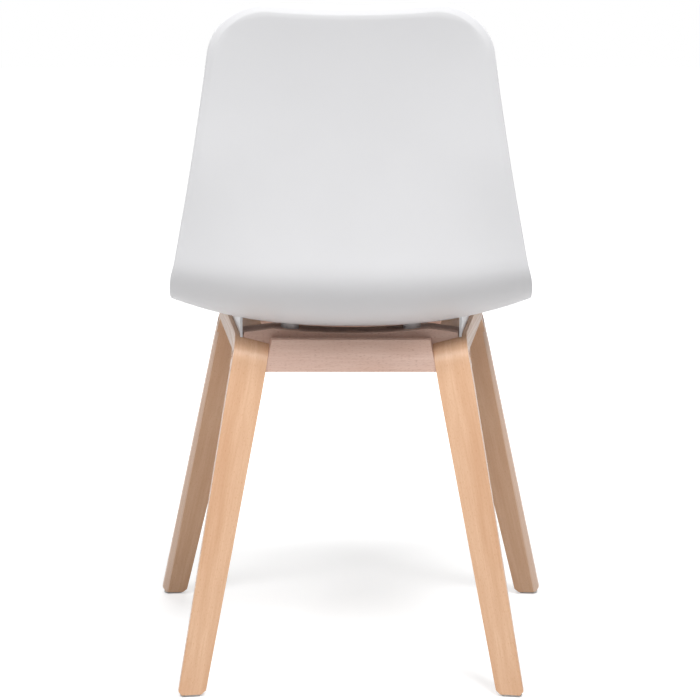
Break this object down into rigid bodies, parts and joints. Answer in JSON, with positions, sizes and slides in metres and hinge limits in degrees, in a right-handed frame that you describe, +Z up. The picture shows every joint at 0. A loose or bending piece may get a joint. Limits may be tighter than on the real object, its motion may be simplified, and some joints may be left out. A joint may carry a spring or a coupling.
{
  "type": "side chair",
  "caption": "Armless dining chair with a dished one-piece plastic shell on bent laminated wood side arches tied by rails and bearers.",
  "frame": {"origin": "on the floor, under the middle of the chair's outline: in the plane of symmetry, midway between the front of the seat and the rear of the back", "axes": "+Z up; -Y the way the sitter looks, so the back of the chair is at +Y; +X to the left of the sitter"},
  "size_m": [0.525, 0.5109, 0.825],
  "materials": {
    "shell_plastic": "satin white moulded plastic, fine grain",
    "laminated_beech": "clear satin lacquer over bent laminated beech, grain along the strip",
    "raw_beech": "steamed solid beech, matt",
    "zinc_steel": "zinc plated",
    "brass": "turned, unpolished",
    "dowel_beech": "raw fluted beech",
    "glide_plastic": "grey polyethylene"
  },
  "bodies": {
    "root": {"seat_shell": "shell_plastic", "side_arch_right": "laminated_beech", "side_arch_left": "laminated_beech", "front_rail": "raw_beech", "rear_rail": "raw_beech", "front_bearer": "raw_beech", "rear_bearer": "raw_beech", "rail_bolts": "zinc_steel", "rail_bolt_washers": "zinc_steel", "rail_barrel_nuts": "zinc_steel", "rail_dowels": "dowel_beech", "bearer_screws": "zinc_steel", "seat_bolts": "zinc_steel", "seat_bolt_washers": "zinc_steel", "seat_inserts": "brass", "glide_front_right": "glide_plastic", "glide_front_left": "glide_plastic", "glide_rear_right": "glide_plastic", "glide_rear_left": "glide_plastic", "glide_nails": "zinc_steel"}
  },
  "joints": []
}
